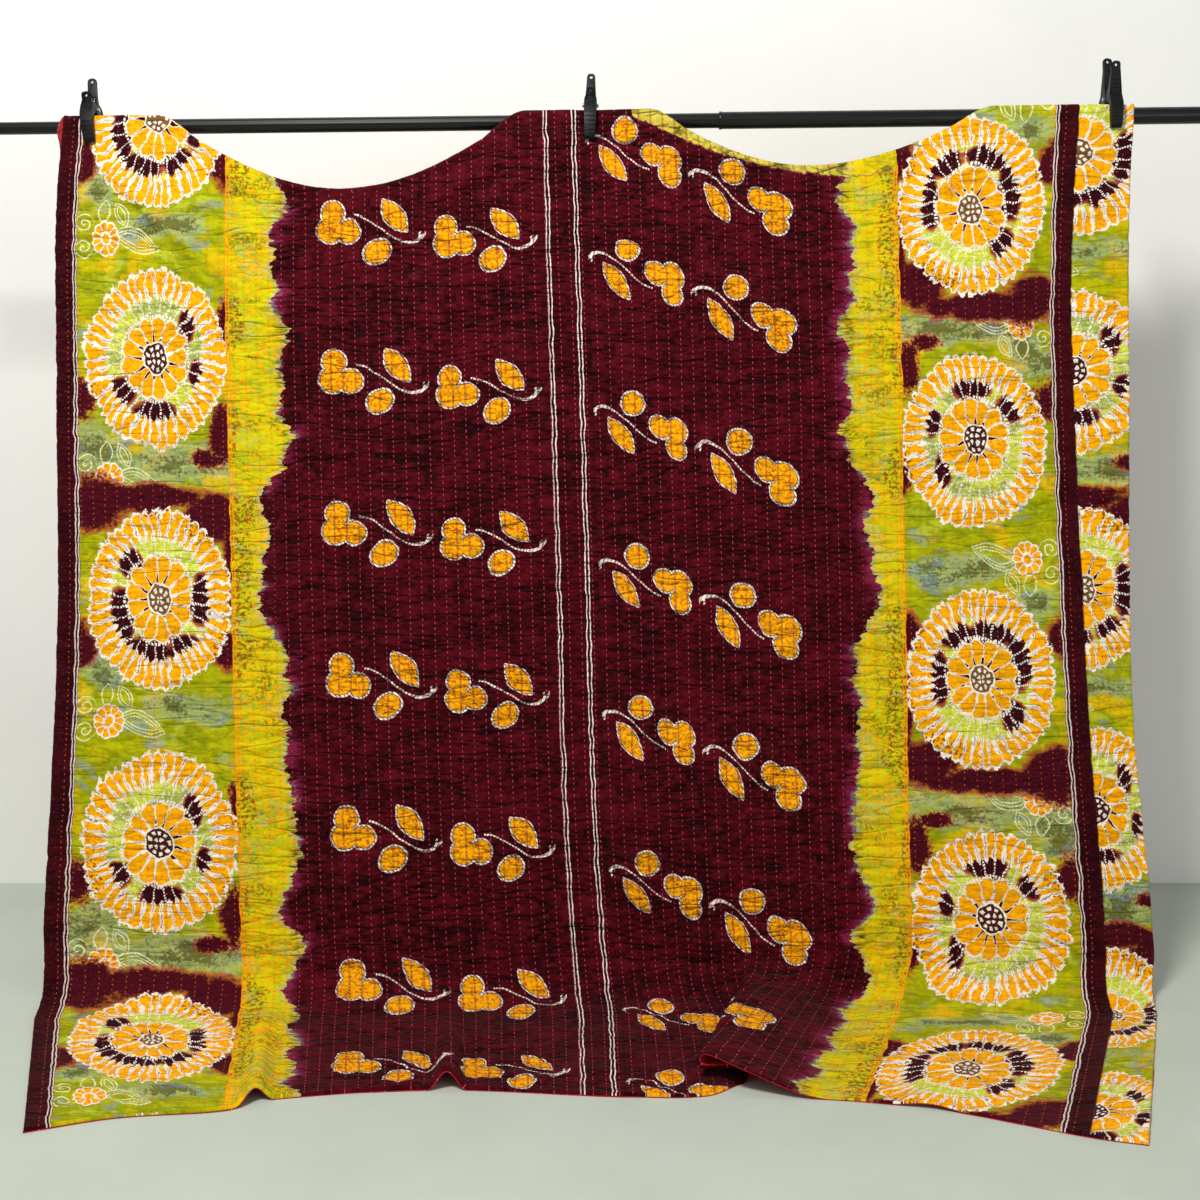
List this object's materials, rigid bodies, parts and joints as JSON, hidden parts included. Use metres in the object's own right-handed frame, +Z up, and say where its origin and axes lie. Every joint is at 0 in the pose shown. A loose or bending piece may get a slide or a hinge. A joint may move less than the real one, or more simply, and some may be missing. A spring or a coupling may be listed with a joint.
{
  "type": "kantha quilt hung from a telescoping rod",
  "caption": "Patchwork kantha quilt with printed medallions and rows of running stitch, clipped over a black telescoping rod, its lower part lying in folds on the floor.",
  "frame": {"origin": "on the floor, below the middle of the whole part", "axes": "+X along the rod towards the viewer's right, +Y from the quilt's front to its back, +Z up"},
  "size_m": [2.8002, 0.93, 1.8782],
  "materials": {
    "printed_cotton": "printed and quilted cotton, matt",
    "printed_cotton_side": "printed and quilted cotton, matt",
    "red_backing": "plain dyed cotton, matt",
    "black_rod": "black satin coat",
    "black_plastic": "moulded black plastic",
    "steel_pin": "plain steel"
  },
  "bodies": {
    "root": {"panel_left": "printed_cotton", "panel_right": "printed_cotton", "panel_side": "printed_cotton_side", "backing": "red_backing", "rod_left": "black_rod", "rod_middle": "black_rod", "rod_right": "black_rod", "clamp_left_front": "black_plastic", "clamp_left_back": "black_plastic", "clamp_left_pin": "steel_pin", "clamp_centre_front": "black_plastic", "clamp_centre_back": "black_plastic", "clamp_centre_pin": "steel_pin", "clamp_right_front": "black_plastic", "clamp_right_back": "black_plastic", "clamp_right_pin": "steel_pin"}
  },
  "joints": []
}
